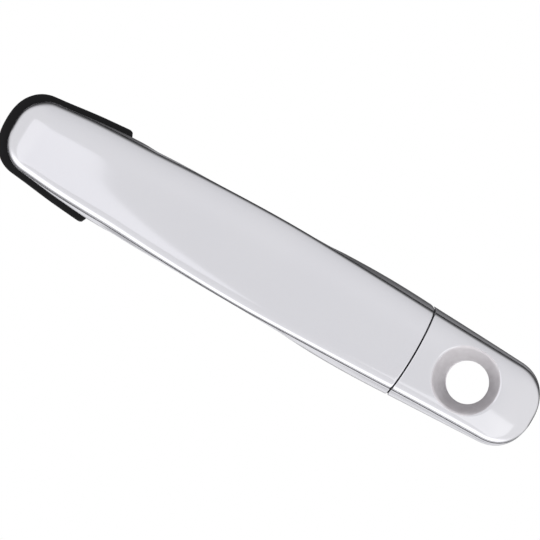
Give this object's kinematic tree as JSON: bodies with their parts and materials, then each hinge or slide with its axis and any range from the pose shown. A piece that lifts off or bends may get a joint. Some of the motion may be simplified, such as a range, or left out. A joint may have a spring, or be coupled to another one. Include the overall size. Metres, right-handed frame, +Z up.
{
  "type": "outside car door handle",
  "caption": "Strap-type outside door handle with a hinged pull grip, a fixed lock cap with a countersunk bore, a carrier and a spring-returned bell crank.",
  "frame": {"origin": "on the carrier's rear bearing pad, which lies against the inside of the door skin, at the gap between grip and lock cap, on the handle's long centreline", "axes": "+X towards the rear of the car, from the hinge to the lock cap; +Y into the door; +Z up; as mounted on a left-hand door"},
  "size_m": [0.2399, 0.0695, 0.0418],
  "materials": {
    "silver_finish": "moulded plastic in bright silver metallic paint under a glossy clear coat",
    "satin_silver": "moulded plastic in a duller, satin coat of the same silver",
    "gasket_rubber": "black rubber with a satin skin",
    "buffer_rubber": "matte black rubber",
    "carrier_nylon": "black glass-filled nylon, fine moulded grain",
    "hook_nylon": "black glass-filled nylon",
    "crank_nylon": "dark grey moulded nylon",
    "bush_plastic": "natural white acetal",
    "fastener_steel": "zinc-plated steel",
    "pin_steel": "ground steel",
    "weight_steel": "phosphated steel",
    "spring_steel": "oiled spring steel"
  },
  "bodies": {
    "fixed_body": {"carrier": "carrier_nylon", "front_gasket": "gasket_rubber", "rear_gasket": "gasket_rubber", "lock_cap_cover": "silver_finish", "lock_cap_base": "satin_silver", "cap_screw": "fastener_steel", "hinge_pin": "pin_steel", "crank_pin": "pin_steel", "crank_pin_clip": "spring_steel", "front_nut": "fastener_steel", "rear_nut_upper": "fastener_steel", "rear_nut_lower": "fastener_steel", "return_spring": "spring_steel"},
    "grip_body": {"grip_cover": "silver_finish", "grip_base": "satin_silver", "hinge_hook": "hook_nylon", "hook_screw_1": "fastener_steel", "hook_screw_2": "fastener_steel", "pull_leg": "hook_nylon", "leg_screw_1": "fastener_steel", "leg_screw_2": "fastener_steel", "stop_buffer": "buffer_rubber"},
    "crank_body": {"bell_crank": "crank_nylon", "counterweight": "weight_steel", "cable_bush": "bush_plastic"}
  },
  "joints": [
    {"name": "grip_pull", "type": "hinge", "parent": "fixed_body", "child": "grip_body", "pos_m": [-0.1795, 0.007, 0], "axis": [0, 0, -1], "range_deg": [0, 7]},
    {"name": "crank_turn", "type": "hinge", "parent": "fixed_body", "child": "crank_body", "pos_m": [-0.02, 0.0175, -0.007], "axis": [1, 0, 0], "range_deg": [0, 70], "stiffness_Nm_per_rad": 0.12, "springref_deg": -57.3, "deforming": ["return_spring"]}
  ],
  "couplings": [
    {"joint": "crank_turn", "follows": "grip_pull", "ratio": 10}
  ]
}
